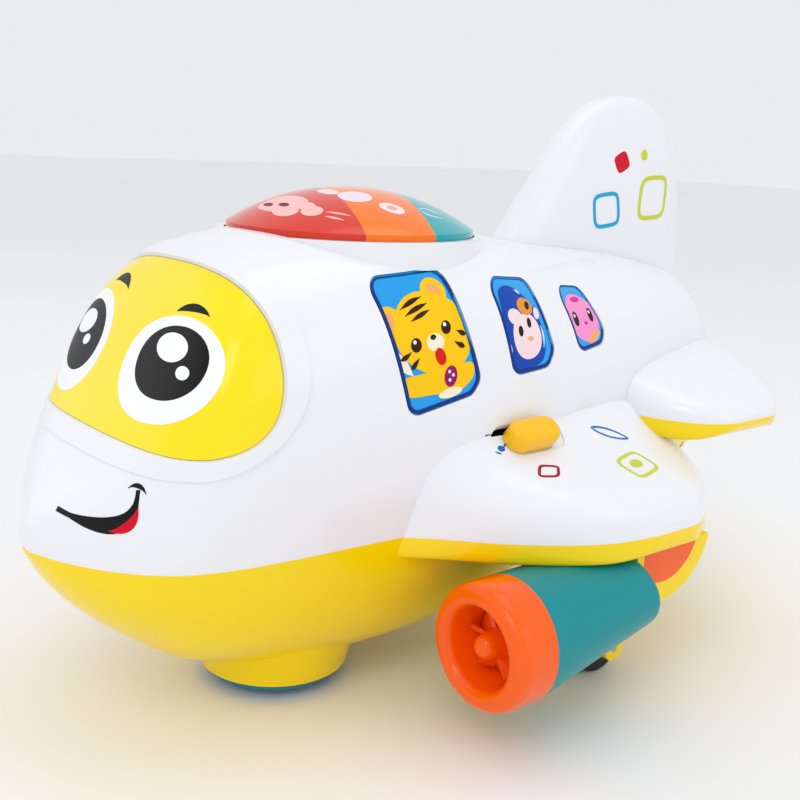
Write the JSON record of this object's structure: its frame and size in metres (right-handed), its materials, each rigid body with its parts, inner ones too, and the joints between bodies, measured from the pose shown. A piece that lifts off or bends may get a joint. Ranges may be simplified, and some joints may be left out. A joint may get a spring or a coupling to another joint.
{
  "type": "toy airplane",
  "caption": "Rounded bump-and-go toy airplane with a printed face, lit dome button, mode switch, ducted engines, swivelling drive pod and free rear wheels.",
  "frame": {"origin": "on the floor, at the middle of the length and width", "axes": "nose toward -Y, left wing toward +X, fin toward +Z"},
  "size_m": [0.1964, 0.287, 0.1955],
  "materials": {
    "amber_plastic": "glossy moulded ABS",
    "cell_wrap": "shrink wrap",
    "circuit_board": "solder mask",
    "copper_foil": "bare contact metal",
    "dark_plastic": "matt moulded nylon",
    "foot_teal": "satin moulded ABS",
    "lamp_body": "diffuse epoxy",
    "lens_orange": "translucent printed plastic",
    "lens_red": "translucent printed plastic",
    "lens_teal": "translucent printed plastic",
    "natural_nylon": "natural nylon",
    "orange_plastic": "glossy moulded ABS",
    "steel": "drawn steel",
    "teal_plastic": "satin moulded ABS",
    "tyre_rubber": "matt rubber",
    "white_shell": "glossy moulded ABS",
    "window_print": "glossy printed sticker",
    "windshield_yellow": "glossy printed panel",
    "yellow_shell": "glossy moulded ABS"
  },
  "bodies": {
    "airframe": {"battery_cells": "cell_wrap", "battery_door": "yellow_shell", "battery_tray": "yellow_shell", "belly_shell": "yellow_shell", "case_screws": "steel", "dome_lamps": "lamp_body", "dome_spring": "steel", "lamp_board": "circuit_board", "left_gear_infill": "orange_plastic", "left_gear_leg": "yellow_shell", "left_intake_ring": "orange_plastic", "left_nacelle_body": "teal_plastic", "left_rear_pin": "steel", "left_tailplane_bottom": "yellow_shell", "left_tailplane_top": "white_shell", "left_window_front": "window_print", "left_window_middle": "window_print", "left_window_rear": "window_print", "left_wing_bottom": "yellow_shell", "left_wing_top": "white_shell", "main_board": "circuit_board", "mode_switch": "dark_plastic", "right_gear_infill": "orange_plastic", "right_gear_leg": "yellow_shell", "right_intake_ring": "orange_plastic", "right_nacelle_body": "teal_plastic", "right_rear_pin": "steel", "right_tailplane_bottom": "yellow_shell", "right_tailplane_top": "white_shell", "right_window_front": "window_print", "right_window_middle": "window_print", "right_window_rear": "window_print", "right_wing_bottom": "yellow_shell", "right_wing_top": "white_shell", "slip_ring_springs": "copper_foil", "speaker": "dark_plastic", "tail_fin": "white_shell", "upper_shell": "white_shell", "windshield_frame": "white_shell", "windshield_panel": "windshield_yellow"},
    "dome_button": {"dome_carrier": "natural_nylon", "dome_lens_front": "lens_red", "dome_lens_middle": "lens_orange", "dome_lens_rear": "lens_teal"},
    "mode_slider": {"mode_knob": "amber_plastic"},
    "drive_pod": {"drive_motor": "steel", "idler_pin": "steel", "pod_cover": "foot_teal", "pod_housing": "foot_teal", "slip_ring": "copper_foil"},
    "drive_axle_set": {"axle_gear": "natural_nylon", "drive_axle": "steel", "left_drive_wheel": "tyre_rubber", "right_drive_wheel": "tyre_rubber"},
    "idler": {"idler_gear": "natural_nylon"},
    "pinion": {"motor_pinion": "natural_nylon"},
    "left_rear_wheel": {"left_rear_wheel": "dark_plastic"},
    "right_rear_wheel": {"right_rear_wheel": "dark_plastic"},
    "left_fan": {"left_intake_fan": "orange_plastic"},
    "right_fan": {"right_intake_fan": "orange_plastic"}
  },
  "joints": [
    {"name": "dome_press", "type": "slide", "parent": "airframe", "child": "dome_button", "axis": [0, 0, -1], "range_m": [0, 0.0025], "stiffness_N_per_m": 900, "springref_m": -0.0015, "deforming": ["dome_spring"]},
    {"name": "mode_slide", "type": "slide", "parent": "airframe", "child": "mode_slider", "axis": [0, 1, 0], "range_m": [-0.0045, 0.0045]},
    {"name": "pod_swivel", "type": "hinge", "parent": "airframe", "child": "drive_pod", "pos_m": [0, -0.06, 0.01], "axis": [0, 0, 1], "continuous": true},
    {"name": "axle_spin", "type": "hinge", "parent": "drive_pod", "child": "drive_axle_set", "pos_m": [0, -0.06, 0.011], "axis": [1, 0, 0], "continuous": true},
    {"name": "idler_spin", "type": "hinge", "parent": "drive_pod", "child": "idler", "pos_m": [0, -0.055, 0.0192], "axis": [1, 0, 0], "continuous": true},
    {"name": "pinion_spin", "type": "hinge", "parent": "drive_pod", "child": "pinion", "pos_m": [0, -0.059, 0.02858], "axis": [1, 0, 0], "continuous": true},
    {"name": "left_wheel_spin", "type": "hinge", "parent": "airframe", "child": "left_rear_wheel", "pos_m": [0.061, 0.0305, 0.011], "axis": [1, 0, 0], "continuous": true},
    {"name": "right_wheel_spin", "type": "hinge", "parent": "airframe", "child": "right_rear_wheel", "pos_m": [-0.061, 0.0305, 0.011], "axis": [1, 0, 0], "continuous": true},
    {"name": "left_fan_spin", "type": "hinge", "parent": "airframe", "child": "left_fan", "pos_m": [0.0788, -0.035, 0.0333], "axis": [0, 1, 0], "continuous": true},
    {"name": "right_fan_spin", "type": "hinge", "parent": "airframe", "child": "right_fan", "pos_m": [-0.0788, -0.035, 0.0333], "axis": [0, 1, 0], "continuous": true}
  ],
  "couplings": [
    {"joint": "idler_spin", "follows": "axle_spin", "ratio": -1.6667},
    {"joint": "pinion_spin", "follows": "axle_spin", "ratio": 4}
  ]
}
